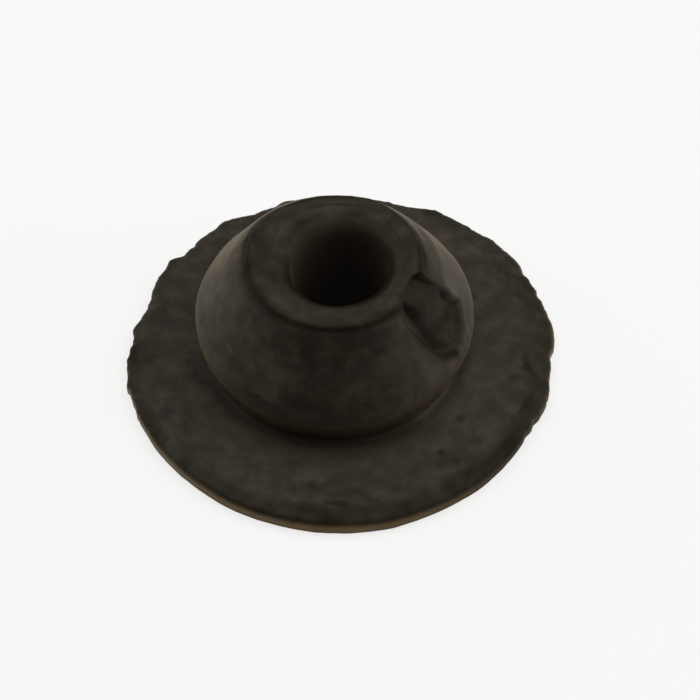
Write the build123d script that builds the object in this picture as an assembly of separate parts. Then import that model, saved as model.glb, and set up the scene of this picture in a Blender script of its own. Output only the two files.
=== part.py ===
"""Rubber buffer: a thin round flange with a bulging boss above it and a plain bore from top to bottom.

It is one moulding, so the model is one solid. The flange's rim is whole on one side and has worn
flatter beside that. The rest has crumbled away in short straight tears, and a chunk is missing from
the boss beside the lip.

The origin is on the bore's axis, in the plane of the flat underside. +Z points up through the boss.
Sizes are in millimetres. Bearings are in degrees, counter-clockwise from +X as seen from above.
"""

import math
import os

from build123d import *

# Flange
flange_radius = 14.0  # where the rim is whole
flange_thickness = 1.3
bevel_width = 1.4  # band inside the rim where the top face slopes down
bevel_drop = 0.4  # how far it has sloped down at the rim

# Boss, turned about its own axis. Its rises are measured from the flange's top face.
boss_shift = 0.4  # the boss's axis lies this far from the bore's, towards -X
neck_radius = 7.8  # where the boss meets the flange
belly_radius = 9.1  # where its two slopes would meet if the belly weren't rounded
belly_rise = 3.25
belly_round = 1.5
crown_radius = 6.75  # where its upper slope bends in a little further
crown_rise = 6.82
crown_round = 2.0
shoulder_rise = 7.85  # where the slope ends, just outside the lip
shoulder_round = 0.25

# Lip round the mouth of the bore, with a shallow groove between it and the shoulder
lip_radius = 5.5
lip_rise = 0.35  # from the shoulder to the lip's top
lip_round = 0.3
groove_width = 0.35
groove_depth = 0.1
mouth_drop = 1.1  # from the lip's top down to the edge of the bore

# Bore
bore_radius = 3.0

full_height = flange_thickness + shoulder_rise + lip_rise

# Missing chunk, from the lip down the boss's upper slope. Its corners are (across, up the slope)
# from a point on that slope.
chunk_bearing = -22.0
chunk_share = 0.105  # how far down the slope that point lies, from the crown to the belly
chunk_depth = 1.05
chunk_tilt = 12.0  # its floor is deeper at the clockwise side
chunk_corners = [
    (0.6, 2.65), (-1.2, 3.0), (-2.3, 2.4), (-2.4, 0.7), (-1.8, -2.4), (0.0, -3.1), (2.5, -1.5), (1.6, 1.0)
]

# Rim, counter-clockwise: the whole stretch, a stretch worn flatter, and the tears in the rest. Wear is
# (how far on from the whole stretch, how far in from the full circle). Tears are (bearing, how far in),
# below nothing where the rubber between two tears has swollen.
round_from = 210.0
round_to = 284.0
worn_middle = (22, 0.3)
worn_end = (47, 0.48)
rim_tears = [
    (336, 0.33), (341, 0.2), (346, 0.15), (351, 0.26), (356, 0.27), (360, 0.15), (364, -0.1), (369, -0.08),
    (374, 0.0), (380, 0.0), (386, 0.0), (393, -0.28), (398, -0.15), (402, -0.18), (407, 0.0), (414, 0.1),
    (422, 0.02), (426, 0.45), (430, 0.72), (436, 0.6), (443, 0.6), (451, 0.55), (459, 0.62), (466, 0.5),
    (471, 0.74), (477, 0.9), (481, 0.56), (486, 0.3), (490, 0.52), (494, 0.5), (500, 0.74), (504, 0.7),
    (507, 0.2), (514, 0.35), (520, 0.58), (524, 0.78), (529, 0.62), (534, 0.26), (539, 0.4), (544, -0.02),
    (548, -0.03), (552, -0.1), (557, 0.0), (562, -0.03),
]


def rim_point(bearing, missing):
    """The rim's point at that bearing, where that much is missing from the full circle."""
    turn = math.radians(bearing)
    radius = flange_radius - missing
    return Vector(radius * math.cos(turn), radius * math.sin(turn))


def turned_blank():
    """Flange, boss and lip as turned about the boss's axis, wider than the finished rim."""
    bevel_top = (flange_radius - bevel_width, flange_thickness)
    bevel_reach = 2 * (bevel_width + boss_shift)  # past the rim on every side
    blank_radius = flange_radius - bevel_width + bevel_reach
    blank_edge = flange_thickness - bevel_drop * bevel_reach / bevel_width
    neck = (neck_radius, flange_thickness)
    belly = (belly_radius, flange_thickness + belly_rise)
    crown = (crown_radius, flange_thickness + crown_rise)
    shoulder = (lip_radius + groove_width, flange_thickness + shoulder_rise)
    groove = (lip_radius, shoulder[1] - groove_depth)
    lip_edge = (lip_radius, full_height - lip_round)
    lip_top = (lip_radius - lip_round, full_height)
    mouth = (bore_radius - boss_shift, full_height - mouth_drop)
    rounds = [belly_round, crown_round, shoulder_round]
    with BuildSketch(Plane.XZ) as section:
        with BuildLine():
            Polyline((0, 0), (blank_radius, 0), (blank_radius, blank_edge), bevel_top, neck)
            FilletPolyline(neck, belly, crown, shoulder, groove, radius=rounds)
            Line(groove, lip_edge)
            TangentArc(lip_edge, lip_top, tangent=(0, 1))
            TangentArc(lip_top, mouth, tangent=(-1, 0))
            Polyline(mouth, (0, mouth[1]), (0, 0))
        make_face()
    return Pos(-boss_shift, 0) * revolve(section.sketch, Axis.Z)


def rim_prism():
    """Upright prism whose outline is the rim. Tears show only where it is neither whole nor worn."""
    middle_bearing = round_to + worn_middle[0]
    end_bearing = round_to + worn_end[0]
    torn = [rim_point(*tear) for tear in rim_tears if end_bearing < tear[0] < round_from + 360]
    with BuildSketch() as outline:
        with BuildLine():
            whole = CenterArc((0, 0), flange_radius, round_from, round_to - round_from)
            worn_to = rim_point(end_bearing, worn_end[1])
            worn = ThreePointArc(whole @ 1, rim_point(middle_bearing, worn_middle[1]), worn_to)
            Polyline(worn @ 1, *torn, whole @ 0)
        make_face()
    return extrude(outline.sketch, full_height)


def chunk():
    """Prism that takes the missing chunk away, square to its own floor."""
    slope = math.degrees(math.atan2(belly_radius - crown_radius, crown_rise - belly_rise))
    reach = crown_radius + chunk_share * (belly_radius - crown_radius)
    rise = crown_rise + chunk_share * (belly_rise - crown_rise)
    centre = Pos(-boss_shift, 0) * Rot(0, 0, chunk_bearing) * Pos(reach, 0, flange_thickness + rise)
    # Its X runs across the slope, its Y up the slope and its Z out of the boss
    face = centre * Rot(0, 90 - slope, 0) * Rot(0, 0, 90)
    floor = face * Rot(0, -chunk_tilt, 0) * Pos(0, 0, -chunk_depth)
    return floor * extrude(Polygon(*chunk_corners, align=None), 3 * chunk_depth)


part = turned_blank() & rim_prism()
part -= Cylinder(bore_radius, 3 * full_height)
part -= chunk()
os.makedirs("parts", exist_ok=True)
export_step(part, "parts/rubber_buffer.step")
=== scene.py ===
# %% [markdown]
# # A worn rubber buffer
#
# The real thing is one lump of black rubber: a thin round flange, a bulging boss above it, a rounded
# lip at the top and a plain hole from top to bottom. It was pressed in a mould, so there are no seams
# between pieces to model. What makes it this one buffer is its age. The rim has crumbled, a chunk is
# missing beside the lip, and dust sits on a skin that was once smooth and black.
#
# The CAD model is loaded first and gives the true sizes. Its surface is too clean to show the wear,
# so this lesson lays a finer skin over it, in the same place and at the same size.

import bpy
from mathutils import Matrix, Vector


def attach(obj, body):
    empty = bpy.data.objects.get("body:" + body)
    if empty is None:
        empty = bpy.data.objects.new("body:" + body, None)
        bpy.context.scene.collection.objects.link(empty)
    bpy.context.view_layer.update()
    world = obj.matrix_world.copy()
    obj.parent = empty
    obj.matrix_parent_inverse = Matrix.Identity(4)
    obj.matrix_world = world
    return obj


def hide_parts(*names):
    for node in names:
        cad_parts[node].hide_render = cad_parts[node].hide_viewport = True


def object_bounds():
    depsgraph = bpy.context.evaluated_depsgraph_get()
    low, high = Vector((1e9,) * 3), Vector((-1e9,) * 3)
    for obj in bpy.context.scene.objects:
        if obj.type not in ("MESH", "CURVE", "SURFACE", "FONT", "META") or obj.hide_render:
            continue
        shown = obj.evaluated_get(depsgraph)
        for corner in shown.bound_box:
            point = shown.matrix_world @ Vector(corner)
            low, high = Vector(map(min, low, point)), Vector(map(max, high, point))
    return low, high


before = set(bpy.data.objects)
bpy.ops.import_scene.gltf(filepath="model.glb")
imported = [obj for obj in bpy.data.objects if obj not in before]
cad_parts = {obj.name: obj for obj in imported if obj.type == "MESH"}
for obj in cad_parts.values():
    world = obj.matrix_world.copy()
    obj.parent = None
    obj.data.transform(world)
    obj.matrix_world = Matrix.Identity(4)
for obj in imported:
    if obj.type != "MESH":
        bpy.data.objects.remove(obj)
cad_low, cad_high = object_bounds()
print("CAD box in mm:", [round((high - low) * 1000, 2) for low, high in zip(cad_low, cad_high)])

# %% Other tools
import math

import bpy
import numpy as np
from mathutils import Vector, noise
from mathutils.bvhtree import BVHTree

# %% [markdown]
# ## Units
#
# Blender works in metres, but a part this small is easier to think about in millimetres. All shapes
# below are made in millimetres and are scaled once, at the end. The CAD surface is kept as a search
# tree in millimetres too, so that the skin can be measured against it.

# %% Units and the CAD surface
MM = 0.001

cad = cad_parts["rubber_buffer"].data
cad_surface = BVHTree.FromPolygons([v.co / MM for v in cad.vertices], [p.vertices for p in cad.polygons])
print("CAD faces:", len(cad.polygons))

# %% [markdown]
# ## Sizes of the moulding
#
# These are the sizes that the CAD model was drawn to, in millimetres. Heights are measured from the
# flat underside. The boss stands a little off the axis of the bore, which is the origin, as happens
# when the two halves of a mould don't line up. A few things differ. There is no groove round the lip:
# the slope of the boss runs on to the foot of the lip, and the groove's shade is painted there as a
# dark line. The belly has slumped a little and is rounder, and the lip's edge is a hair tighter.

# %% Sizes
flange_radius = 14.0
flange_thickness = 1.3
bevel_width = 1.4  # band inside the rim where the top slopes down
bevel_drop = 0.4  # how far it has sloped down at the rim
edge_bottom = 0.12  # rounding of the underside's edges
bore_radius = 3.0
boss_centre = -0.4  # where the boss's axis stands along X

# Corners of the boss's outline, as (distance from its axis, height)
neck = (7.8, flange_thickness)
belly = (9.15, 4.55)
belly_round = 2.1
crown = (6.75, 8.12)
crown_round = 2.0
lip_foot = (5.56, 9.22)
foot_round = 0.12
lip_radius = 5.5
lip_round = 0.24
full_height = 9.5
mouth_height = 8.4  # of the mouth's lower edge, as drawn
print("flange:", 2 * flange_radius, "mm across, bore:", 2 * bore_radius, "mm, height:", full_height, "mm")

# %% [markdown]
# ## Columns
#
# The skin is a stack of rings, and each ring is cut into columns by bearing. Equal columns would be
# simple, but the missing chunk has steep sides that need small faces, and the far side doesn't. So the
# columns stand closer together where the chunk is. The flange is wider than the boss, so its rings get
# twice as many, with one more between each pair.

# %% Column bearings
chunk_from, chunk_to = -55, 15  # bearings in degrees
chunk_side = np.arange(chunk_from, chunk_to, 0.65)
elsewhere = np.linspace(chunk_to, chunk_from + 360, 259, endpoint=False)
boss_bearings = np.radians(np.concatenate([chunk_side, elsewhere]))
gaps = np.diff(np.append(boss_bearings, boss_bearings[0] + math.tau))
flange_bearings = np.stack([boss_bearings, boss_bearings + gaps / 2], axis=1).ravel()
print("columns on the boss:", len(boss_bearings), " on the flange:", len(flange_bearings))

# %% [markdown]
# ## Rings
#
# Three helpers make every ring. `ring` is a circle of points, whose radius and height may differ from
# column to column. `span` fills the space between two rings with evenly spaced ones. `corner` turns
# an edge: nothing moulded in rubber is truly sharp, so each column follows a small curve there.

# %% Ring helpers
def ring(bearings, radius, height, centre=0.0):
    """Points round an upright axis at x = centre."""
    points = np.empty((len(bearings), 3))
    points[:, 0] = centre + radius * np.cos(bearings)
    points[:, 1] = radius * np.sin(bearings)
    points[:, 2] = height
    return points


def span(start, end, count):
    """That many rings from start up to, but not including, end."""
    return [start + (end - start) * i / count for i in range(count)]


def corner(before, edge, after, count):
    """Rings that bend from before to after without reaching edge: a quadratic Bezier curve."""
    return [before * (1 - t) ** 2 + edge * 2 * t * (1 - t) + after * t**2 for t in np.linspace(0, 1, count)]

# %% [markdown]
# ## Outline of the boss
#
# Seen from the side, the boss leans out from its neck to a round belly, leans in to the crown, bends
# in a little further up to the foot of the lip, and rises to the lip. Each of these is a straight run
# with a rounded corner after it, so the outline is a list of corners, each with its own rounding. An
# outline drawn as one free curve would need many more points, and its straight runs would wobble.

# %% Outline helpers
def rounded_path(corners):
    """Points of a chain of straight runs. A corner is (radius, height, rounding)."""
    points = []
    for i, (radius, height, rounding) in enumerate(corners):
        here = Vector((radius, height))
        if not rounding:
            points.append(here)
            continue
        into = (here - Vector(corners[i - 1][:2])).normalized()
        out = (Vector(corners[i + 1][:2]) - here).normalized()
        turn = into.angle(out)
        centre = here + (out - into).normalized() * rounding / math.cos(turn / 2)
        first = here - into * rounding * math.tan(turn / 2) - centre
        last = here + out * rounding * math.tan(turn / 2) - centre
        for t in np.linspace(0, 1, 16):
            arm = (first * math.sin((1 - t) * turn) + last * math.sin(t * turn)) / math.sin(turn)
            points.append(centre + arm)
    return np.array(points)


def walk(path, places):
    """The path's points at those distances along it."""
    runs = np.linalg.norm(np.diff(path, axis=0), axis=1)
    along = np.concatenate([[0], np.cumsum(runs)])
    return [(np.interp(s, along, path[:, 0]), np.interp(s, along, path[:, 1])) for s in places], along[-1]

# %% Rings of the boss, from the neck to the top of the lip
neck_round = 0.6
lip_top = (lip_radius - lip_round, full_height)
outline = rounded_path([
    (*neck, 0),
    (*belly, belly_round),
    (*crown, crown_round),
    (*lip_foot, foot_round),
    (lip_radius, full_height, lip_round),
    (*lip_top, 0),
])
outline_length = walk(outline, [0])[1]
rows = [
    # from, to, step along the outline: finer near the top, where the chunk and the lip are
    (neck_round, 3.2, 0.2),
    (3.2, 7.4, 0.095),
    (7.4, outline_length, 0.075),
]
places = np.concatenate([np.arange(*row) for row in rows])
side = [ring(boss_bearings, r, z, boss_centre) for r, z in walk(outline, places)[0]]
flange_at_neck = ring(boss_bearings, neck[0] + neck_round, flange_thickness, boss_centre)
neck_edge = ring(boss_bearings, *neck, boss_centre)
boss_rings = corner(flange_at_neck, neck_edge, side[0], 5)[:-1] + side
print("outline of the boss:", round(outline_length, 2), "mm,", len(boss_rings), "rings")

# %% [markdown]
# ## Mouth and bore
#
# Inside the lip the rubber curves down into the bore. The lip is centred on the boss and the bore on
# the flange, so the mouth is wider on one side, and each column runs from its place on the lip to its
# place on the bore. The height comes from one arc about the boss's own axis: it leaves the lip level
# and gets steeper. Wear has left the front of the mouth much lower than the back. The edge of the bore
# is soft, and at the back it is softer still and flares a little.

# %% Rings of the mouth
mouth_edge_radius = bore_radius + boss_centre
mouth_drop = full_height - mouth_height
mouth_reach = lip_top[0] - mouth_edge_radius
mouth_arc = (mouth_reach**2 + mouth_drop**2) / (2 * mouth_drop)
drop_kept = 0.62 - 0.42 * np.sin(boss_bearings)  # share of the drawn drop: all in front, a fifth behind


def on_mouth(points):
    """The same points, at the mouth's height."""
    inward = lip_top[0] - np.hypot(points[:, 0] - boss_centre, points[:, 1])
    drop = mouth_arc - np.sqrt(mouth_arc**2 - inward**2)
    return np.column_stack([points[:, :2], full_height - drop * drop_kept])


edge_round = 0.7 + 0.3 * np.sin(boss_bearings) - 0.2 * np.cos(boss_bearings)
edge_reach = 1.25 * edge_round  # how far outside the bore its edge starts to turn down
flare = 0.08 + 0.32 * np.clip(np.sin(boss_bearings), 0, 1)
from_lip = ring(boss_bearings, lip_top[0], full_height, boss_centre)
to_bore = ring(boss_bearings, bore_radius + flare + edge_reach, 0)
mouth_rings = [on_mouth(points) for points in span(from_lip, to_bore, 24)]
print("mouth:", len(mouth_rings), "rings")

# %% Rings of the bore
flare_depth = 1.8  # from the bore's edge down to where its wall is straight
neck_depth = 1.8 * flare_depth
short_step = 0.05

before = on_mouth(to_bore)
a_little_in = on_mouth(ring(boss_bearings, bore_radius + flare + edge_reach - short_step, 0))
bore_edge = before + (a_little_in - before) * (edge_reach / short_step)[:, None]
straight = ring(boss_bearings, bore_radius, bore_edge[:, 2] - flare_depth)
bore_top = bore_edge + (straight - bore_edge) * (edge_round / flare_depth)[:, None]
bore_neck = ring(boss_bearings, bore_radius, bore_edge[:, 2] - neck_depth)
bore_foot = ring(boss_bearings, bore_radius, edge_bottom)
bore_rings = corner(before, bore_edge, bore_top, 9)
bore_rings += corner(bore_top, straight, bore_neck, 7)[1:]
bore_rings += span(bore_neck, bore_foot, 7)[1:]
print("bore edge height:", round(bore_edge[:, 2].min(), 2), "to", round(bore_edge[:, 2].max(), 2), "mm")

# %% [markdown]
# ## Rim
#
# The CAD rim already has the right torn outline, so it is read from the solid: a ray comes in towards
# the axis along each column and stops where it meets the rubber. Typing the outline in again would
# give two lists to keep alike. Crumbling rubber is also rough at a scale that the solid leaves out,
# so a little more is nibbled away wherever the rim is no longer a true circle.
#
# Three helpers come first. `lumps` is the noise that all uneven shapes here are made of. `hill` and
# `smooth` fade things in and out: `hill` makes a soft spot round one place, `smooth` a soft step.

# %% Helpers for uneven and fading shapes
def lumps(points, size, octaves=3, seed=0.0):
    """Smooth noise, about -1 to 1, with lumps of about that many millimetres."""
    shift = Vector((seed, seed, seed))
    return np.array([noise.fractal(Vector(p) / size + shift, 1.0, 2.0, octaves) for p in points])


def hill(distance, width):
    """1 at no distance, falling smoothly to 0."""
    return np.exp(-((distance / width) ** 2))


def smooth(value):
    """0 below 0, 1 above 1, with a soft start and end."""
    value = np.clip(value, 0, 1)
    return value * value * (3 - 2 * value)

# %% Rim outline
probe_height = 0.3
probe_start = 20.0


def cad_rim(bearing):
    """Distance from the axis to the CAD rim."""
    out = Vector((math.cos(bearing), math.sin(bearing), 0))
    start = out * probe_start + Vector((0, 0, probe_height))
    return cad_surface.ray_cast(start, -out)[0].xy.length


rim_radius = np.array([cad_rim(bearing) for bearing in flange_bearings])
bearing_now = np.degrees(flange_bearings) % 360
whole_from, whole_to, blend_width = 212, 325, 12
crumbled = np.clip(np.maximum(whole_from - bearing_now, bearing_now - whole_to) / blend_width, 0, 1)
nibble = lumps(ring(flange_bearings, flange_radius, 0), 0.9, 4, seed=3.0)
nibble_most = 0.2
rim_radius -= crumbled * np.clip(0.05 + 0.16 * nibble, 0, nibble_most)

# The whole stretch stands out a little at one end and has worn a little at the other
rim_radius += 0.08 * hill(bearing_now - 318, 16) - 0.09 * hill(bearing_now - 224, 14)
print("rim radius:", round(rim_radius.min(), 2), "to", round(rim_radius.max(), 2), "mm")

# %% [markdown]
# ## Flange
#
# The top of the flange is level near the boss and turns down softly into a bevel near the rim. The
# rim itself is upright with rounded edges, and the underside is flat and plain, because it was
# pressed against something flat for years.

# %% Height of the flange's top
bevel_soft = 0.35


def flange_top(points):
    """The same points, at the height of the flange's top face."""
    past = np.hypot(points[:, 0] - boss_centre, points[:, 1]) - (flange_radius - bevel_width)
    fall = (past + np.hypot(past, bevel_soft)) / 2 * bevel_drop / bevel_width
    return np.column_stack([points[:, :2], flange_thickness - fall])


def rim_ring(inset, height):
    """A ring that follows the rim, that far inside it."""
    return ring(flange_bearings, rim_radius - inset, height)


print("flange top at the rim:", round(flange_top(rim_ring(0, 0))[:, 2].min(), 2), "mm high at its lowest")

# %% Rings of the underside
under_inner = 3.6
under_middle = 8.0
under_outer = 8.8
under_bore = ring(boss_bearings, bore_radius, 0)
under_rings = corner(bore_foot, under_bore, ring(boss_bearings, bore_radius + edge_bottom, 0), 3)
under_rings += span(ring(boss_bearings, under_inner, 0), ring(boss_bearings, under_middle, 0), 3)
under_rings += span(ring(flange_bearings, under_outer, 0), rim_ring(edge_bottom, 0), 4)
print("underside:", len(under_rings), "rings")

# %% Rings of the rim and the top of the flange
edge_top = 0.4
inner_gap = 0.1  # between the boss's first ring and the flange's last
rim_top = flange_top(rim_ring(0, 0))
rim_rings = corner(rim_ring(edge_bottom, 0), rim_ring(0, 0), rim_ring(0, edge_bottom), 4)
rim_rings += span(rim_ring(0, edge_bottom), rim_top - (0, 0, edge_top), 6)[1:]
rim_rings += corner(rim_top - (0, 0, edge_top), rim_top, flange_top(rim_ring(edge_top, 0)), 5)
flange_inner = ring(flange_bearings, neck[0] + neck_round + inner_gap, 0, boss_centre)
flange_rings = [flange_top(points) for points in span(rim_ring(edge_top, 0), flange_inner, 42)[1:]]
print("rim:", len(rim_rings), "rings, top of the flange:", len(flange_rings), "rings")

# %% [markdown]
# ## One closed skin
#
# The rings now run in one loop: up the boss, over the lip, down the bore, out under the flange, up
# the rim and back to the neck. Neighbouring rings are joined by four-sided faces. Where a ring of
# single columns meets one of double columns, each face takes in the extra point and has five sides.
# One such row is hidden in the crease at the neck, the other is on the flat underside.

# %% Join the rings
stack = {
    "boss": boss_rings,
    "mouth": mouth_rings,
    "bore": bore_rings,
    "under": under_rings,
    "rim": rim_rings,
    "flange": flange_rings,
}
rings = [points for part in stack.values() for points in part]
region = np.concatenate([np.full(len(points), name) for name, part in stack.items() for points in part])
starts = np.concatenate([[0], np.cumsum([len(points) for points in rings])])


def join(first, count_first, second, count_second):
    """Faces between two rings, given each ring's first vertex and its number of columns."""
    columns = min(count_first, count_second)
    faces = []
    for i in range(columns):
        edge_first = [first + k % count_first for k in steps(i, count_first // columns)]
        edge_second = [second + k % count_second for k in steps(i, count_second // columns)]
        faces.append(edge_first + edge_second[::-1])
    return faces


def steps(column, share):
    """Columns along one face's edge: two ends, and the one between where there is one."""
    return range(column * share, column * share + share + 1)


faces = []
for i, points in enumerate(rings):
    after = (i + 1) % len(rings)
    faces += join(int(starts[i]), len(points), int(starts[after]), len(rings[after]))
points = np.concatenate(rings)
skin = bpy.data.meshes.new("rubber_buffer_skin")
skin.from_pydata(points, [], faces)
skin.validate()
triangles = sum(len(face) - 2 for face in faces)
print("skin:", len(points), "points,", triangles, "triangles")

# %% [markdown]
# ## Wear on the skin
#
# Every dent, pit and crease is a height to add along the skin's own direction, in millimetres, so
# they can simply be summed. This is real shape and not a bump map: it changes the outline, casts its
# own shadows, and is there in the mesh when the part is used elsewhere. Two pairs of coordinates say
# where a mark is: plan position for the flange, and for the boss the distance round it and the height.

# %% Coordinates for marks
def skin_normals():
    """The direction of the skin at each of its points."""
    flat = np.empty(len(skin.vertices) * 3, np.float32)
    skin.vertex_normals.foreach_get("vector", flat)
    return flat.reshape(-1, 3).astype(float)


def move_skin(new_points):
    """Puts the skin's points at these places."""
    skin.vertices.foreach_set("co", new_points.astype(np.float32).ravel())
    skin.update()


def from_segment(x, y, start, end):
    """Distance of points from a straight stretch."""
    run = (end[0] - start[0], end[1] - start[1])
    share = ((x - start[0]) * run[0] + (y - start[1]) * run[1]) / (run[0] ** 2 + run[1] ** 2)
    share = np.clip(share, 0, 1)
    return np.hypot(x - start[0] - share * run[0], y - start[1] - share * run[1])


on_boss = region == "boss"
on_flange = region == "flange"
on_rim = region == "rim"
plan_x, plan_y, high = points.T
boss_turn = np.degrees(np.arctan2(plan_y, plan_x - boss_centre)) % 360
print("points on the boss:", on_boss.sum(), " on the flange:", on_flange.sum(), " on the rim:", on_rim.sum())

# %% [markdown]
# ### Uneven skin
#
# Old rubber has shrunk and swollen: the skin waves gently over several millimetres, is dimpled over
# about one, and is grainy at a tenth of that. The first two are shape. The last is left to the
# material, because it would take millions of faces.

# %% Waves and dimples
wave = 0.05 * lumps(points, 4.0, 2, seed=11.0)
dimple = 0.018 * lumps(points, 0.9, 3, seed=21.0)
shown = (region != "under").astype(float)
inside_bore = region == "bore"
relief = (wave + dimple) * shown
relief[inside_bore] *= 0.5
print("waves and dimples:", round(relief.min(), 3), "to", round(relief.max(), 3), "mm")

# %% [markdown]
# ### Worn lip
#
# The lip is what other things rub on, so its top has lost a hair. It has also bulged outwards and
# risen a little at the back. The first is a dent like any other and joins the relief. The others move
# whole stretches of the lip, so they are added to the points themselves, and they fade out down the
# slope and into the mouth.

# %% Worn lip
lip_loss = 0.06
lip_lift = 0.1
from_boss_axis = np.hypot(plan_x - boss_centre, plan_y)
relief -= lip_loss * hill(np.hypot(from_boss_axis - lip_radius + 0.1, high - full_height + 0.1), 0.35)


def turn_from(bearing):
    """How many degrees each point lies from that bearing, seen from the boss's axis."""
    return np.abs((boss_turn - bearing + 180) % 360 - 180)


bulges = [
    # bearing, how far out, width in degrees
    (143, 0.26, 24),
    (55, 0.10, 26),
    (64, 0.10, 12),
]
on_top = on_boss | (region == "mouth")
bulge = sum(out * hill(turn_from(bearing), width) for bearing, out, width in bulges)
bulge *= on_top * smooth((high - 7.9) / 1.0) * smooth((from_boss_axis - 4.3) / 0.9)
points[:, 0] += bulge * np.cos(np.radians(boss_turn))
points[:, 1] += bulge * np.sin(np.radians(boss_turn))
points[:, 2] += lip_lift * on_top * smooth((high - 8.7) / 0.5) * smooth(0.3 + plan_y / 5)
print("lip pushed out by up to", round(bulge.max(), 2), "mm")

# %% [markdown]
# ### Pits, folds and creases
#
# The marks are placed one by one, each where the real buffer has it: small pits, low blisters and
# folds on the flange, and on the boss a few creases where the skin has sagged, with faint raised lines
# left by the mould. A round mark needs one place, a fold or a crease runs from one place to another.

# %% Marks on the flange
def on_plan(bearing, distance):
    """Plan position of a mark on the flange, from its bearing and its distance from the bore's axis."""
    return distance * math.cos(math.radians(bearing)), distance * math.sin(math.radians(bearing))


pits = [
    # place, width, depth, which is below nothing for a blister; the deeper pits get painted shade
    (on_plan(253, 9.8), 0.28, 0.08),
    (on_plan(260.8, 11.2), 0.35, 0.12),
    (on_plan(279.4, 10.2), 0.28, 0.06),
    (on_plan(305.7, 10.6), 0.28, 0.09),
    (on_plan(307.1, 11.7), 0.28, 0.09),
    (on_plan(320.3, 9.5), 0.32, 0.10),
    (on_plan(345.8, 13.3), 0.45, 0.08),
    (on_plan(1.3, 13.2), 0.50, 0.10),
    (on_plan(9.7, 13.3), 0.50, 0.08),
    (on_plan(26.3, 13.3), 0.50, 0.12),
    (on_plan(353.4, 12.6), 0.40, -0.16),
    (on_plan(214.7, 13.4), 0.30, -0.10),
]
folds = [
    # from, to, width, height
    (on_plan(265.5, 12.5), on_plan(271, 12.6), 0.18, -0.09),
    (on_plan(271, 12.6), on_plan(276.3, 13.3), 0.18, -0.07),
    (on_plan(274.3, 11.5), on_plan(280.7, 12.8), 0.18, -0.05),
    (on_plan(355.5, 12.0), on_plan(351.1, 12.0), 0.28, -0.14),
    (on_plan(351.1, 12.0), on_plan(349.6, 12.7), 0.28, -0.13),
    (on_plan(345.4, 11.3), on_plan(348.0, 12.2), 0.22, -0.05),
    (on_plan(334, 12.6), on_plan(344, 12.9), 0.20, -0.09),
]
# Painted shade in the deeper pits and along the folds
pit_shade = np.zeros(len(points))
for (x, y), width, depth in pits:
    reach = hill(np.hypot(plan_x - x, plan_y - y), width)
    relief -= on_flange * depth * reach
    pit_shade = np.maximum(pit_shade, on_flange * reach * np.clip(depth / 0.2, 0, 0.5))
for start, end, width, height in folds:
    reach = hill(from_segment(plan_x, plan_y, start, end), width)
    relief += on_flange * height * reach
    pit_shade = np.maximum(pit_shade, 0.6 * on_flange * reach * np.clip(-height / 0.09, 0, 1))
print("pits and blisters:", len(pits), " stretches of fold:", len(folds))

# %% Marks on the boss
around = np.radians(boss_turn) * belly[0]


def on_side(bearing, height):
    """Position of a mark on the boss: how far round it, and how high."""
    return math.radians(bearing) * belly[0], height


creases = [
    # from, to, width, height
    (on_side(230, 5.1), on_side(238, 5.15), 0.18, -0.09),
    (on_side(238, 5.15), on_side(247, 4.95), 0.18, -0.09),
    (on_side(233, 4.45), on_side(245, 4.45), 0.32, 0.08),
    (on_side(214, 6.5), on_side(232, 6.6), 0.14, 0.04),
    (on_side(232, 6.6), on_side(256, 6.6), 0.14, 0.035),
    (on_side(206, 5.6), on_side(227, 5.6), 0.14, 0.035),
    (on_side(291, 4.5), on_side(306, 4.7), 0.20, 0.06),
    (on_side(297, 3.8), on_side(308, 3.1), 0.22, -0.10),
    (on_side(308, 3.1), on_side(320, 2.0), 0.22, -0.08),
]
for start, end, width, height in creases:
    relief += on_boss * height * hill(from_segment(around, high, start, end), width)

points += skin_normals() * relief[:, None]
move_skin(points)
print("deepest mark:", round(relief.min(), 3), "mm, highest:", round(relief.max(), 3), "mm")

# %% [markdown]
# ### The missing chunk
#
# A piece has been torn out beside the lip. Cutting it with a boolean would leave long thin faces, so
# the skin is pressed in instead: inside the chunk's outline, each point sinks to the floor of the
# tear, and close to the outline it sinks less, which makes the sides. Torn rubber is never flat. It
# leaves a deep cleft on one side, where the tear began, and a soft pillow in the middle.
#
# The outline lies on the boss's upper slope, so it gets a frame of its own: X runs across the slope, Y
# up the slope and Z out of the boss.

# %% Frame and outline of the chunk
chunk_bearing = math.radians(-22)
chunk_share = 0.105  # how far down the slope its middle lies, from the crown to the belly
chunk_corners = [
    (1.2, 2.35), (0.65, 2.68), (-0.75, 2.68), (-1.55, 2.5), (-2.0, 2.1), (-2.4, 1.3),
    (-2.45, 0.4), (-2.3, -0.95), (-1.9, -2.3), (-1.0, -2.9), (-0.1, -3.05), (0.75, -2.6),
    (1.85, -1.95), (2.45, -1.35), (2.12, -0.25), (1.55, 1.2),
]

lean = math.atan2(belly[0] - crown[0], crown[1] - belly[1])
radial = np.array([math.cos(chunk_bearing), math.sin(chunk_bearing), 0])
across = np.array([-math.sin(chunk_bearing), math.cos(chunk_bearing), 0])
upright = np.array([0, 0, 1.0])
outward = radial * math.cos(lean) + upright * math.sin(lean)
up_slope = upright * math.cos(lean) - radial * math.sin(lean)
chunk_radius = crown[0] + chunk_share * (belly[0] - crown[0])
chunk_height = crown[1] - chunk_share * (crown[1] - belly[1])
chunk_middle = radial * chunk_radius + upright * chunk_height + (boss_centre, 0, 0)
print("slope of the boss leans", round(math.degrees(lean), 1), "degrees from upright")

# %% Inside and outside of the chunk
def inside_outline(x, y, corners):
    """How far inside the outline each point is, negative outside. Corners go counter-clockwise."""
    distance = np.full(len(x), 1e3)
    for (x0, y0), (x1, y1) in zip(corners, corners[1:] + corners[:1]):
        length = math.hypot(x1 - x0, y1 - y0)
        inward = ((x1 - x0) * (y - y0) - (y1 - y0) * (x - x0)) / length
        distance = np.minimum(distance, inward)
    return distance


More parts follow.
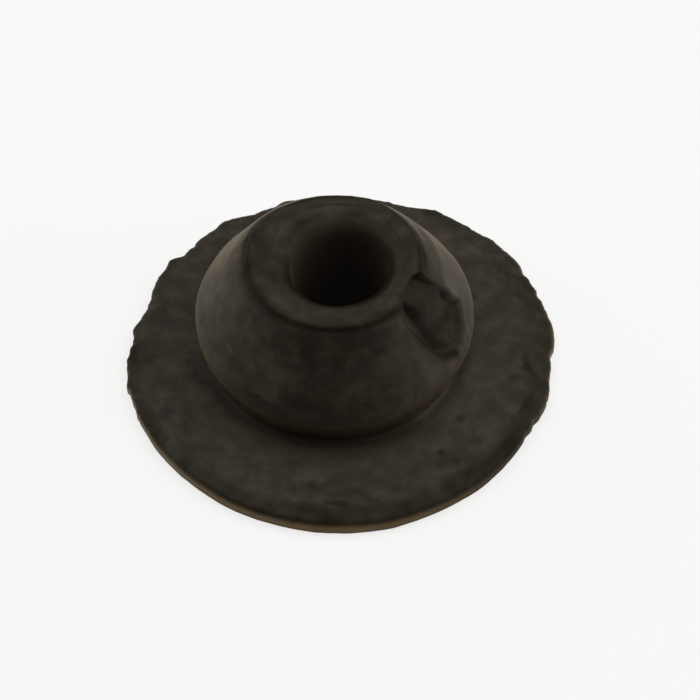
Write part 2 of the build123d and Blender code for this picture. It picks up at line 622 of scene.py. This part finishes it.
offset = points - chunk_middle
chunk_x = offset @ across
chunk_y = offset @ up_slope
chunk_z = offset @ outward
near = (np.hypot(chunk_x, chunk_y) < 5) & (chunk_z > -3) & on_top
ragged = np.zeros(len(points))
ragged[near] = 0.07 * lumps(points[near], 0.8, 3, seed=31.0)
inside = inside_outline(chunk_x, chunk_y, chunk_corners) + ragged
print("points inside the chunk's outline:", int((near & (inside > 0)).sum()))

# %% Floor of the chunk
floor = -0.85 - 0.3 * smooth((chunk_y - 1.0) / 1.5)  # deeper towards the lip

# The cleft runs down the left side and gets wider on its way
cleft = from_segment(chunk_x, chunk_y, (-1.35, 1.7), (-1.45, -1.9))
cleft_here = hill(cleft, 0.36 + 0.25 * smooth((0.5 - chunk_y) / 2))
floor -= 0.43 * cleft_here

# The pillow, with two more lumps on its right
pillow = np.hypot((chunk_x - 0.5) / 1.45, (chunk_y - 0.4) / 1.4)
floor += 0.30 * smooth((1.6 - pillow) / 1.3)
floor += 0.25 * hill(np.hypot(chunk_x - 1.5, chunk_y - 0.9), 0.7)
floor += 0.12 * hill(np.hypot(chunk_x - 1.2, chunk_y + 1.3), 0.7)

# Two shallow steps: one all along the lower edge, one in the corner between the cleft and the lip
floor += 0.42 * smooth((-1.5 - chunk_y) / 1.2) * smooth((chunk_x + 1.5) / 1.6)
floor += 0.40 * smooth((chunk_y - 1.8) / 1.0) * smooth((-1.2 - chunk_x) / 0.7)
rough = np.zeros(len(points))
rough[near] = lumps(points[near], 0.55, 4, seed=41.0)
floor += 0.03 * rough
print("floor of the chunk:", round(floor[near].min(), 2), "to", round(floor[near].max(), 2), "mm")

# %% Press the chunk in
side_width = 0.36 + 0.22 * smooth((chunk_x - 0.8) / 0.8)
sunk = smooth(inside / side_width)
drop = near * sunk * np.minimum(floor - chunk_z, 0)
burr = near * 0.02 * smooth(chunk_x + 1) * hill(inside + 0.12, 0.2)  # raised round the outline
points += outward * (drop + burr)[:, None]
move_skin(points)
print("deepest point of the chunk:", round(drop.min(), 2), "mm below the skin")

# %% [markdown]
# ## Where dirt, dust and painted light lie
#
# On the real buffer dirt and dust are not even. Dark dirt sits on the lip and along the rim, and pale
# dust lies in patches. Shade is painted into the colour as well: under the belly, on the front of the
# boss, below the lip and along its foot, in the mouth and bore, in the tear, in pits and folds, and on
# the bevel. So is light: where the boss's shadow falls on the flange, at the foot of the boss and on a
# few slopes. A shader can't know these places, but here they are plain to say with the coordinates that
# the marks used. So two numbers from 0 to 1 are worked out for each point and stored on it: one for
# dirt and painted shade, one for dust and painted light. Each step adds one place. Where two overlap,
# the stronger one counts, so nothing gets darker just because places meet.

# %% Painted shade on the front and foot of the boss and below the lip
beside = np.cos(np.radians(boss_turn))  # 1 at the right, -1 at the left
behind = np.sin(np.radians(boss_turn))  # 1 at the back, -1 at the front
to_left = smooth(-beside)
front_half = smooth(0.6 - behind)
in_front = hill(turn_from(259), 36)

# Painted shade: the front of the boss darker low down, and its foot and the flange next to it darker; it
# also takes the sheen off the lower slope
at_foot = on_boss * smooth((4.6 - high) / 1.2) + on_flange * smooth((9.0 - from_boss_axis) / 1.0)
low_on_boss = on_boss * smooth((6.8 - high) / 2.0)
dirt_and_shade = np.maximum(0.55 * in_front * low_on_boss, 0.85 * front_half * at_foot)

# Painted shade below the lip at the front, and a dark line painted along the lip's foot as a crease's shade
below_lip = on_boss * smooth((high - 7.6) / 0.9) * (from_boss_axis > lip_radius)
dirt_and_shade = np.maximum(dirt_and_shade, 0.5 * below_lip * hill(turn_from(268), 50))
from_lip_foot = np.hypot(from_boss_axis - lip_radius - bulge, high - lip_foot[1] - 0.1)
foot_line = hill(from_lip_foot, 0.48 + 0.1 * to_left) * (0.84 + 0.14 * behind)
dirt_and_shade = np.maximum(dirt_and_shade, on_top * foot_line)
print("points that are more dirty than clean:", int((dirt_and_shade > 0.5).sum()))

# %% Dirt on the lip, and painted shade in the mouth and the bore
in_mouth = (region == "mouth") | inside_bore
mottled = 0.25 + 0.12 * beside**2 + 0.25 * lumps(points, 1.1, 2, seed=61.0)
dirt_and_shade = np.maximum(dirt_and_shade, on_top * (high > 8) * (from_boss_axis < lip_radius) * mottled)

# Painted shade: a dark ring round the bore's edge, with a fainter one outside it
from_axis = np.hypot(plan_x, plan_y)
mouth_shade_reach = 0.95 + 0.2 * smooth(-behind) - 0.4 * smooth(behind) - 0.06 * beside
mouth_shade = smooth((bore_radius + mouth_shade_reach - from_axis) / (0.8 + 0.1 * behind))
halo = (0.3 + 0.14 * np.abs(beside)) * smooth((bore_radius + 1.5 - from_axis) / 0.5)
mouth_shade = np.maximum(mouth_shade, halo)

# Painted shade on everything below that edge
bore_turn = np.degrees(np.arctan2(plan_y, plan_x))
edge_height = np.interp(bore_turn, np.degrees(boss_bearings), bore_edge[:, 2], period=360)
deep = in_mouth * smooth((edge_height - high - 0.05) / 0.5)
mouth_shade = np.maximum(mouth_shade, deep)
dirt_and_shade = np.maximum(dirt_and_shade, 0.9 * mouth_shade * in_mouth)
print("points that are more dirty than clean:", int((dirt_and_shade > 0.5).sum()))

# %% Painted shade in the missing chunk, in the browner colour of torn rubber
# The tear is painted dark as its shade: darkest along its top edge, in the cleft and on its right side, and
# less dark on its low facet
top_edge = hill(inside - 0.15, 0.22) * smooth((chunk_y - 0.8) / 0.8) * smooth((1.7 - chunk_x) / 0.8)
low_facet = smooth((-1.2 - chunk_y) / 0.8) * smooth(chunk_x)
dirt_and_shade = np.maximum(dirt_and_shade, near * sunk * (0.55 + 0.5 * top_edge - 0.25 * low_facet))
cleft_side = smooth((-0.2 - chunk_x) / 0.8) * (0.85 - 0.3 * smooth(chunk_y))
dirt_and_shade = np.maximum(dirt_and_shade, near * hill(inside, 0.3) * cleft_side)
right_side = smooth((chunk_x - 0.9) / 0.7) * hill(chunk_y, 1.1)
dirt_and_shade = np.maximum(dirt_and_shade, near * sunk * right_side)
print("dirt in the chunk:", round(float(dirt_and_shade[near & (inside > 0)].mean()), 2), "on average")

# %% Dirt and painted shade on the flange and the rim
outer = on_flange | on_rim
# Dirt near the rim, in patches, which also paints the shade on the bevel, most at the front and back
patchy = np.clip(0.7 + 0.5 * lumps(points, 2.0, 3, seed=51.0), 0, 1)
at_edge = outer * smooth((from_boss_axis - 12.3) / 0.9)
dirt_and_shade = np.maximum(dirt_and_shade, (0.8 - 0.3 * beside**2) * patchy * at_edge)
# A darker band along the rim's edge at the front right: painted shade on the bevel
rim_band = outer * smooth((from_boss_axis - 12.75) / 0.6)
dirt_and_shade = np.maximum(dirt_and_shade, 0.7 * hill(turn_from(321), 22) * rim_band)
dirt_and_shade = np.maximum(dirt_and_shade, pit_shade)
# Painted shade: the left half of the flange a little darker
dirt_and_shade = np.maximum(dirt_and_shade, 0.15 * on_flange * to_left)
print("points that are more dirty than clean:", int((dirt_and_shade > 0.5).sum()))

# %% Pale dust and painted light
# Painted light: the flange is paler in front of the boss, where the boss's shadow falls on it
shadow_lift = on_flange * smooth((11.9 - from_boss_axis) / 2.4) * smooth((from_boss_axis - 7.9) / 0.7)
shadow_lift *= smooth(0.3 * beside + 0.1 - 1.1 * behind)
# Painted light at the foot of the boss and on the flange next to it, in front
dust_and_painted_light = np.maximum(0.42 * shadow_lift, (0.48 - 0.13 * in_front) * at_foot * front_half)
# Painted highlight on the front right of the boss
dust_and_painted_light = np.maximum(dust_and_painted_light, 0.14 * on_boss * hill(turn_from(310), 20) * hill(high - 5.2, 1.6))
# Painted light on the walls of the bore, less on the right wall
dust_and_painted_light = np.maximum(dust_and_painted_light, (0.46 - 0.09 * beside) * deep * smooth((high + 1) / 8))
# Painted light at the back of the mouth
dust_and_painted_light = np.maximum(dust_and_painted_light, 0.15 * in_mouth * hill(np.hypot(plan_x + 0.3, (plan_y - 4.5) / 0.8), 0.9))
print("most dust:", round(float(dust_and_painted_light.max()), 2))

# %% [markdown]
# ### Single patches
#
# What is left are single patches, some paler and some darker than the skin round them. They follow no
# rule, so they are a list, like the marks. Some are dust and dirt, and some are painted light and shade
# on the boss and round its foot. A paler patch first takes dirt and painted shade away, and what it has
# left over becomes pale dust and painted light.

# %% Single patches
lip_level = full_height - 0.15
face_level = flange_thickness - 0.05


def on_wall(bearing, height):
    """Place on the boss, from its bearing about the boss's axis and its height."""
    radius = np.interp(height, outline[:, 1], outline[:, 0])
    return (*np.add(on_plan(bearing, radius), (boss_centre, 0)), height)


def on_lip(bearing, radius):
    """Place on top of the lip, from its bearing and its distance about the boss's axis."""
    return (*np.add(on_plan(bearing, radius), (boss_centre, 0)), lip_level)


def on_face(bearing, distance):
    """Place on top of the flange."""
    return (*on_plan(bearing, distance), face_level)


patches = [
    # place, size, paleness: dust and painted light; below nothing, dirt and painted shade
    (on_face(248, 13.0), 0.8, 0.45),
    (on_face(237, 12.5), 0.9, 0.35),
    (on_face(221, 11.8), 0.9, 0.25),
    (on_face(263, 13.0), 0.5, 0.2),
    (on_face(41, 12.9), 1.0, 0.5),
    (on_face(6, 13.1), 0.7, 0.4),
    # painted light: these lift the shade round the foot of the boss
    (on_face(330, 7.9), 0.9, 0.5),
    (on_face(320, 7.9), 0.9, 0.5),
    (on_face(310, 7.9), 0.8, 0.5),
    (on_face(222, 8.3), 0.9, 0.25),
    (on_face(238, 8.3), 0.9, 0.2),
    (on_face(271, 11.8), 0.6, -0.25),
    (on_face(184, 13.0), 1.0, -0.4),
    (on_face(357, 10.3), 1.1, -0.2),
    (on_face(200, 12.6), 1.2, 0.12),
    # painted light and shade on the boss's slopes and flanks
    (on_wall(300, 7.4), 1.1, 0.4),
    (on_wall(235, 8.2), 0.7, 0.25),
    (on_wall(243, 5.9), 0.9, 0.35),
    (on_wall(175, 8.3), 0.9, 0.35),
    (on_wall(267, 6.3), 0.9, -0.35),
    (on_wall(291, 5.8), 0.9, -0.3),
    (on_wall(18, 7.0), 1.1, -0.32),
    (on_lip(123, 3.8), 0.7, -0.4),
    (on_lip(70, 4.3), 0.6, -0.4),
    (on_lip(93, 3.6), 0.5, 0.3),
    (on_lip(158, 4.5), 0.5, 0.25),
    (on_lip(185, 5.1), 0.5, -0.2),
]
for place, size, dust in patches:
    reach = hill(np.linalg.norm(points - place, axis=1), size)
    dirt_and_shade = dirt_and_shade - dust * reach
    dust_and_painted_light = dust_and_painted_light + 0.6 * np.clip(-dirt_and_shade, 0, 1)
    dirt_and_shade = np.clip(dirt_and_shade, 0, 1)
print("patches:", len(patches))

# %% [markdown]
# ## The piece
#
# The material also needs to know where the rubber is torn, because the dirt is browner there, and
# where the rim's upright wall is, because a paler brown is painted there as the white floor's
# reflection. All four numbers are stored on the points as attributes. The skin's distance from the CAD
# surface is measured, so that a slip in the outline would show as a number. Then it is scaled to
# metres, becomes an object, rides on the part's one body and stands for the CAD solid.

# %% Attributes
def store(name, values):
    """Keeps one number for each point, for the material to read."""
    attribute = skin.attributes.new(name, "FLOAT", "POINT")
    attribute.data.foreach_set("value", np.asarray(values, np.float32))
    average, most = float(np.mean(values)), float(np.max(values))
    print(name, "is", round(average, 3), "on average and", round(most, 2), "at most")


store("dirt_and_shade", dirt_and_shade)
store("dust_and_painted_light", dust_and_painted_light)
store("torn", near * sunk * smooth((1.6 - chunk_x) / 1.2))
# Painted reflection of the white floor, low on the rim's upright wall
store("painted_floor_reflection", on_rim * smooth((0.88 - high) / 0.36) * (1 - 0.9 * hill(turn_from(324), 28)))

# %% Distance from the CAD surface
misses = [cad_surface.find_nearest(Vector(p))[3] for p in points[::7]]
print("distance from the CAD surface: middle", round(float(np.median(misses)), 3), "mm, most",
      round(max(misses), 2), "mm")

# %% Object
points[:, 2] = np.maximum(points[:, 2], 0)
points *= MM
move_skin(points)
skin.shade_smooth()
buffer = bpy.data.objects.new("rubber_buffer_skin", skin)
bpy.context.scene.collection.objects.link(buffer)
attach(buffer, "root")
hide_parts("rubber_buffer")
print("skin in metres:", [round(float(length), 4) for length in points.max(axis=0) - points.min(axis=0)])

# %% [markdown]
# ## Colours and nodes
#
# Colours are written as sRGB hex values, as a paint program shows them. Blender's shaders work with
# linear light, so one function converts them. One more function adds a node, sets its values and
# makes its links, which keeps a material's recipe readable as a list.

# %% Helpers for materials
def linear(hex_colour):
    """A linear RGBA colour from an sRGB hex value such as '2f2b24'."""
    parts = [int(hex_colour[i:i + 2], 16) / 255 for i in (0, 2, 4)]
    return [c / 12.92 if c <= 0.04045 else ((c + 0.055) / 1.055) ** 2.4 for c in parts] + [1.0]


def add(tree, kind, links=None, inputs=None, **settings):
    """Adds a node. Links are {input: output socket}, inputs are {input: value}."""
    node = tree.nodes.new(kind)
    for name, value in settings.items():
        setattr(node, name, value)
    for name, value in (inputs or {}).items():
        node.inputs[name].default_value = value
    for name, socket in (links or {}).items():
        tree.links.new(socket, node.inputs[name])
    return node

# %% [markdown]
# ## Aged moulded rubber
#
# The real material is a black natural rubber, filled with soot, that was pressed in a steel mould.
# New, it is nearly black with a soft satin gloss. This one has oxidised and dried: the skin is dull
# and a warm dark grey, paler where dust has stuck to it, and it brightens at a grazing angle, because
# fine dust stands up on the surface like the nap of a cloth.
#
# Three noise patterns vary it: clouds where the skin has bleached unevenly, flecks of dust, and the
# grain of the dried skin. Each is as large as the real thing, apart from the grain. Real grain is finer
# than a tenth of a millimetre and wouldn't show, so it is drawn three times as coarse.

# %% Sizes of the patterns
cloud_size = 3.85
dust_size = 1.25
grain_size = 0.286
dust_height = 0.08
grain_height = 0.03
print("patterns in mm: clouds", cloud_size, " dust", dust_size, " grain", grain_size)

# %% [markdown]
# ### Colour
#
# The colour is built up from the inside out: black rubber, grey where flecks of dust have stuck to it,
# brown dirt over that, which also carries the painted shade, pale dust on top, which also carries the
# painted light, and last a paler brown on the rim's wall, painted as the white floor's reflection. Each
# layer is mixed in by a pattern or by one of the stored numbers. The rubber is nearly black, so that
# most of what the eye sees is its gloss.

# %% Colour of the rubber
def rubber_colour(tree, clouds, dust, grain, stored):
    """Black rubber under flecks, dirt, dust, painted shade and light, and a painted reflection."""
    tone = add(tree, "ShaderNodeValToRGB", {"Fac": clouds})
    tone.color_ramp.elements[0].position = 0.35
    tone.color_ramp.elements[0].color = linear("100d0a")
    tone.color_ramp.elements[1].position = 0.68
    tone.color_ramp.elements[1].color = linear("1a1711")
    speckled = add(
        tree, "ShaderNodeMath", {0: grain, 2: dust}, {1: 0.5}, operation="MULTIPLY_ADD",
    )
    flecks = add(
        tree, "ShaderNodeMapRange", {"Value": speckled.outputs["Value"]}, {"From Min": 0.7, "From Max": 1.0},
    )
    coated = add(
        tree, "ShaderNodeMix", {"Factor": flecks.outputs["Result"], "A": tone.outputs["Color"]},
        {"B": linear("2a261e")}, data_type="RGBA",
    )
    # Dirt's colour, browner where the rubber is torn; it is also the colour of the painted shade
    dirt = add(
        tree, "ShaderNodeMix", {"Factor": stored["torn"]},
        {"A": linear("18120b"), "B": linear("1f130d")}, data_type="RGBA",
    )
    soiled_and_shaded = add(
        tree, "ShaderNodeMix",
        {"Factor": stored["dirt_and_shade"], "A": coated.outputs["Result"], "B": dirt.outputs["Result"]},
        data_type="RGBA",
    )
    # Pale dust, which is also the colour of the painted light
    dusted_and_lit = add(
        tree, "ShaderNodeMix", {"Factor": stored["dust_and_painted_light"], "A": soiled_and_shaded.outputs["Result"]},
        {"B": linear("4a4339")}, data_type="RGBA",
    )
    # A paler brown on the rim's upright wall: painted reflection of the white floor
    floor_reflected = add(
        tree, "ShaderNodeMix", {"Factor": stored["painted_floor_reflection"], "A": dusted_and_lit.outputs["Result"]},
        {"B": linear("6a583d")}, data_type="RGBA",
    )
    return floor_reflected.outputs["Result"]

# %% [markdown]
# ### Gloss and grain
#
# Dirt and painted shade take the gloss and the nap of dust away, so both are multiplied by how clean
# and unshaded the rubber is. The flecks of dust and the grain also tilt the surface a little. That is
# left to bump, because they are too fine to be shape.

# %% Gloss and nap
def rubber_gloss(tree, dust, dirt_and_shade):
    """How strongly the rubber mirrors, and how strongly its nap of dust shines."""
    uneven = add(
        tree, "ShaderNodeMapRange", {"Value": dust},
        {"From Min": 0.35, "From Max": 0.65, "To Min": 0.28, "To Max": 0.40},
    )
    # Where shade is painted, gloss and nap go with the dirt
    clean_and_unshaded = add(tree, "ShaderNodeMapRange", {"Value": dirt_and_shade}, {"To Min": 1.0, "To Max": 0.0})
    nap = add(tree, "ShaderNodeMath", {0: clean_and_unshaded.outputs["Result"]}, {1: 0.2}, operation="MULTIPLY")
    gloss = add(
        tree, "ShaderNodeMath",
        {0: uneven.outputs["Result"], 1: clean_and_unshaded.outputs["Result"]}, operation="MULTIPLY",
    )
    return gloss.outputs["Value"], nap.outputs["Value"]

# %% Rubber
def aged_rubber():
    """Dull, dusty, soot-filled rubber, with brown dirt and painted shade in its hollows."""
    material = bpy.data.materials.new("aged_moulded_rubber")
    material.use_nodes = True
    tree = material.node_tree
    tree.nodes.clear()
    place = add(tree, "ShaderNodeTexCoord").outputs["Object"]
    stored = {}
    for name in ("dirt_and_shade", "dust_and_painted_light", "torn", "painted_floor_reflection"):
        stored[name] = add(tree, "ShaderNodeAttribute", attribute_name=name).outputs["Fac"]

    clouds = add(
        tree, "ShaderNodeTexNoise", {"Vector": place}, {"Scale": 1 / (cloud_size * MM), "Detail": 4.0},
    ).outputs["Fac"]
    dust = add(
        tree, "ShaderNodeTexNoise", {"Vector": place},
        {"Scale": 1 / (dust_size * MM), "Detail": 5.0, "Roughness": 0.5},
    ).outputs["Fac"]
    grain = add(
        tree, "ShaderNodeTexNoise", {"Vector": place},
        {"Scale": 1 / (grain_size * MM), "Detail": 5.0, "Roughness": 0.65},
    ).outputs["Fac"]

    flecked = add(
        tree, "ShaderNodeBump", {"Height": dust}, {"Strength": 0.35, "Distance": dust_height * MM},
    )
    grained = add(
        tree, "ShaderNodeBump", {"Height": grain, "Normal": flecked.outputs["Normal"]},
        {"Strength": 0.5, "Distance": grain_height * MM},
    )
    gloss, nap = rubber_gloss(tree, dust, stored["dirt_and_shade"])
    surface = add(
        tree, "ShaderNodeBsdfPrincipled",
        {"Base Color": rubber_colour(tree, clouds, dust, grain, stored),
         "Normal": grained.outputs["Normal"], "Specular IOR Level": gloss, "Sheen Weight": nap},
        {"Roughness": 0.56, "IOR": 1.55, "Specular Tint": linear("ffefd8"),
         "Sheen Roughness": 0.4, "Sheen Tint": linear("f2cf86")},
    )
    add(tree, "ShaderNodeOutputMaterial", {"Surface": surface.outputs["BSDF"]})
    print(material.name, "has", len(tree.nodes), "nodes")
    return material


skin.materials.append(aged_rubber())

# %% [markdown]
# ## Floor and surroundings
#
# A dark matt object shows its form by the way light falls off round it, so it stands on a plain white
# floor in a white surround. The floor is a white sheet that still takes the buffer's shadow. What the
# camera sees directly is lifted towards pure white, without adding any light to the rubber. For an
# object with metal or glass in it, the sheet would be lifted for glossy and transmission rays too.

# %% Floor
def white_sheet():
    """Matt white, partly lit from itself for the camera alone."""
    material = bpy.data.materials.new("white_sheet")
    material.use_nodes = True
    tree = material.node_tree
    tree.nodes.clear()
    rays = add(tree, "ShaderNodeLightPath")
    share = add(tree, "ShaderNodeMath", {0: rays.outputs["Is Camera Ray"]}, {1: 0.7}, operation="MULTIPLY")
    paper = add(tree, "ShaderNodeBsdfDiffuse", inputs={"Color": linear("f4f4f2")})
    glow = add(tree, "ShaderNodeEmission", inputs={"Color": (1, 1, 1, 1), "Strength": 1.0})
    mixed = add(tree, "ShaderNodeMixShader", {0: share.outputs["Value"], 1: paper.outputs["BSDF"],
                                              2: glow.outputs["Emission"]})
    add(tree, "ShaderNodeOutputMaterial", {"Surface": mixed.outputs["Shader"]})
    return material


floor_half = 1.5  # metres
floor_gap = 0.01 * MM  # the floor and the underside mustn't lie in the same plane
sheet = bpy.data.meshes.new("floor")
corners = [(x, y, -floor_gap) for x, y in ((-1, -1), (1, -1), (1, 1), (-1, 1))]
sheet.from_pydata([(x * floor_half, y * floor_half, z) for x, y, z in corners], [], [(0, 1, 2, 3)])
sheet.materials.append(white_sheet())
floor_object = bpy.data.objects.new("floor", sheet)
bpy.context.scene.collection.objects.link(floor_object)
print("floor:", 2 * floor_half, "m wide")

# %% [markdown]
# ## Light
#
# Four soft panels surround the buffer: one above, one on each side and a weak one behind. Nothing
# shines from the front, so the front of the boss falls into soft shade, while its two flanks mirror the
# side panels and turn pale. Each panel is a little wider than it is far away, so that no shadow has an
# edge.

# %% World
room_light = 0.02  # what the room itself adds to the panels, where 1 is white
world = bpy.data.worlds.new("white_room")
world.use_nodes = True
world.node_tree.nodes.clear()
rays = add(world.node_tree, "ShaderNodeLightPath")
even = add(world.node_tree, "ShaderNodeBackground", inputs={"Color": (1, 1, 1, 1), "Strength": room_light})
seen = add(world.node_tree, "ShaderNodeBackground", inputs={"Color": (1, 1, 1, 1), "Strength": 1.0})
mixed = add(world.node_tree, "ShaderNodeMixShader",
            {0: rays.outputs["Is Camera Ray"], 1: even.outputs["Background"], 2: seen.outputs["Background"]})
add(world.node_tree, "ShaderNodeOutputWorld", {"Surface": mixed.outputs["Shader"]})
bpy.context.scene.world = world
print("light from the room itself:", room_light)

# %% Panels
def soft_lamp(name, place, target, size, power):
    """A square lamp that faces the target."""
    lamp = bpy.data.lights.new(name, "AREA")
    lamp.size = size
    lamp.energy = power
    holder = bpy.data.objects.new(name, lamp)
    holder.location = place
    holder.rotation_euler = (Vector(target) - Vector(place)).to_track_quat("-Z", "Y").to_euler()
    bpy.context.scene.collection.objects.link(holder)


panel_size = 0.5  # metres
panels = [
    # name, place in metres, watts
    ("above", (0, 0.02, 0.40), 1.0),
    ("left", (-0.37, 0.13, 0.27), 0.88),
    ("right", (0.38, 0.03, 0.27), 1.2),
    ("behind", (0, 0.40, 0.22), 0.4),
]
middle = (cad_low + cad_high) / 2
for name, place, power in panels:
    soft_lamp(name, place, middle, panel_size, power)
    print(name, "panel:", round((Vector(place) - Vector(middle)).length, 2), "m away,", power, "W")

# %% [markdown]
# ## Camera
#
# The buffer is seen from about 50 degrees above the floor, from close by, with a long lens, so that
# the far side of the flange looks only a little smaller than the near side.

# %% Camera
elevation = math.radians(51.1)
camera_distance = 0.14
lens = bpy.data.cameras.new("camera")
lens.sensor_width = 36
lens.lens = 110.2
lens.shift_x = 0.013
lens.shift_y = 0.0086
lens.clip_start = 0.005
camera = bpy.data.objects.new("camera", lens)
camera.location = (0, -camera_distance * math.cos(elevation), camera_distance * math.sin(elevation))
camera.rotation_euler = (math.pi / 2 - elevation, 0, 0)
bpy.context.scene.collection.objects.link(camera)
bpy.context.scene.camera = camera
bpy.context.scene.view_settings.view_transform = "Standard"
print("width in view:", round(camera_distance * lens.sensor_width / lens.lens / MM, 1), "mm")
